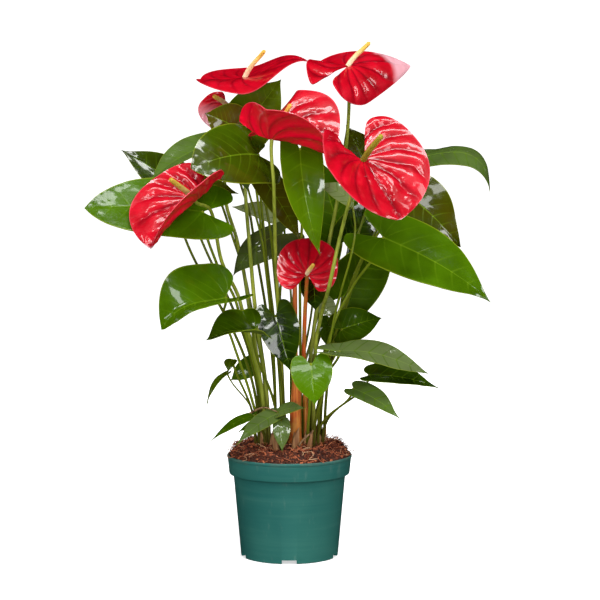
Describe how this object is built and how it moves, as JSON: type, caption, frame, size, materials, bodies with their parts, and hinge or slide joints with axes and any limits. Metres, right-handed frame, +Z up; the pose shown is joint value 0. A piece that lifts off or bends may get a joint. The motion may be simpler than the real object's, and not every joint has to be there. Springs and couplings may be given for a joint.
{
  "type": "potted anthurium",
  "caption": "Potted anthurium with glossy red heart-shaped blooms and large green heart-shaped leaves on long stalks, in a green plastic nursery pot.",
  "frame": {"origin": "centre of the footprint on the ground the pot stands on; the pot's own axis is the Z axis", "axes": "+Z up; -Y is the side shown in the picture; +X to the right of the picture"},
  "size_m": [0.4123, 0.299, 0.5317],
  "materials": {
    "pot": "satin",
    "potting_mix": "matte",
    "leaf": "gloss",
    "flower_stalk": "satin",
    "sheath": "satin",
    "spathe": "gloss",
    "spadix": "satin"
  },
  "bodies": {
    "root": {"flower_stalk_back_left": "flower_stalk", "flower_stalk_centre": "flower_stalk", "flower_stalk_left": "flower_stalk", "flower_stalk_low": "flower_stalk", "flower_stalk_right": "flower_stalk", "flower_stalk_top_left": "flower_stalk", "flower_stalk_top_right": "flower_stalk", "leaf_arching": "leaf", "leaf_back": "leaf", "leaf_behind_stems": "leaf", "leaf_dark_back": "leaf", "leaf_dark_centre": "leaf", "leaf_green_back": "leaf", "leaf_hanging": "leaf", "leaf_heart": "leaf", "leaf_left_arching": "leaf", "leaf_left_far": "leaf", "leaf_left_hidden": "leaf", "leaf_left_high": "leaf", "leaf_long_right": "leaf", "leaf_low_front": "leaf", "leaf_low_left": "leaf", "leaf_low_right": "leaf", "leaf_low_right_front": "leaf", "leaf_mid_olive": "leaf", "leaf_pale": "leaf", "leaf_pale_side": "leaf", "leaf_pale_small": "leaf", "leaf_right_arching": "leaf", "leaf_right_big": "leaf", "leaf_right_olive": "leaf", "leaf_right_round": "leaf", "leaf_right_small": "leaf", "leaf_small_hanging": "leaf", "leaf_tip_back": "leaf", "leaf_top_back": "leaf", "leaf_top_back_left": "leaf", "leaf_top_left": "leaf", "leaf_under_bloom": "leaf", "nursery_pot": "pot", "potting_mix": "potting_mix", "sheathed_shoot": "sheath", "shoot_left": "leaf", "shoot_left_back": "leaf", "shoot_low_front": "leaf", "shoot_low_left": "leaf", "spadix_back_left": "spadix", "spadix_centre": "spadix", "spadix_left": "spadix", "spadix_low": "spadix", "spadix_right": "spadix", "spadix_top_left": "spadix", "spadix_top_right": "spadix", "spathe_back_left": "spathe", "spathe_centre": "spathe", "spathe_left": "spathe", "spathe_low": "spathe", "spathe_right": "spathe", "spathe_top_left": "spathe", "spathe_top_right": "spathe"}
  },
  "joints": []
}
